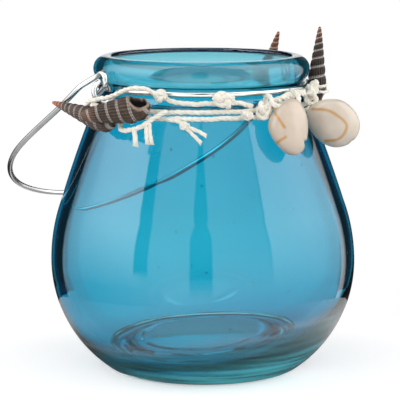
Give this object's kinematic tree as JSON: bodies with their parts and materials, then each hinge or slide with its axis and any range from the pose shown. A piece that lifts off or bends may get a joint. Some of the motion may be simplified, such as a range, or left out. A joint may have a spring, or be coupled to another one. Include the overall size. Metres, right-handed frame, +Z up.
{
  "type": "hanging glass jar lantern",
  "caption": "Pear-shaped blue glass tealight jar with a rolled rim, a wire bail that swings in two neck eyes, and cotton cord tying auger and cowrie shells round the neck.",
  "frame": {"origin": "centre of the jar's foot, on the surface it stands on", "axes": "+Z up along the jar's axis, -Y towards the front with the knots, +X to the right of the front view"},
  "size_m": [0.1171, 0.1253, 0.1106],
  "materials": {
    "blue_glass": "clear blown glass, glossy",
    "galvanised_wire": "drawn galvanised wire, satin",
    "cotton_cord": "unbleached twisted cotton, matte",
    "auger_shell": "brown banded shell, satin",
    "cowrie_shell": "ivory shell, glossy"
  },
  "bodies": {
    "jar": {"glass_jar": "blue_glass", "neck_wire": "galvanised_wire", "neck_cord": "cotton_cord", "right_auger_tie": "cotton_cord", "back_auger_tie": "cotton_cord", "cowrie_loop": "cotton_cord", "twisted_cord": "cotton_cord", "upper_cord": "cotton_cord", "auger_lashing": "cotton_cord", "auger_sling": "cotton_cord", "left_tail": "cotton_cord", "short_tail": "cotton_cord", "middle_tail": "cotton_cord", "left_knot": "cotton_cord", "middle_knot": "cotton_cord", "lower_knot": "cotton_cord", "right_knot": "cotton_cord", "cowrie_knot": "cotton_cord", "rear_left_auger": "auger_shell", "front_left_auger": "auger_shell", "right_auger": "auger_shell", "back_auger": "auger_shell", "side_cowrie": "cowrie_shell"},
    "bail": {"bail_handle": "galvanised_wire"},
    "hanging_cowrie": {"front_cowrie": "cowrie_shell"}
  },
  "joints": [
    {"name": "bail_swing", "type": "hinge", "parent": "jar", "child": "bail", "pos_m": [0, 0, 0.09587], "axis": [0.8371, 0.547, 0], "range_deg": [0, 138]},
    {"name": "cowrie_swing", "type": "hinge", "parent": "jar", "child": "hanging_cowrie", "pos_m": [0.02621, -0.03168, 0.08896], "axis": [-0.7705, -0.6374, 0], "range_deg": [0, 60]}
  ]
}
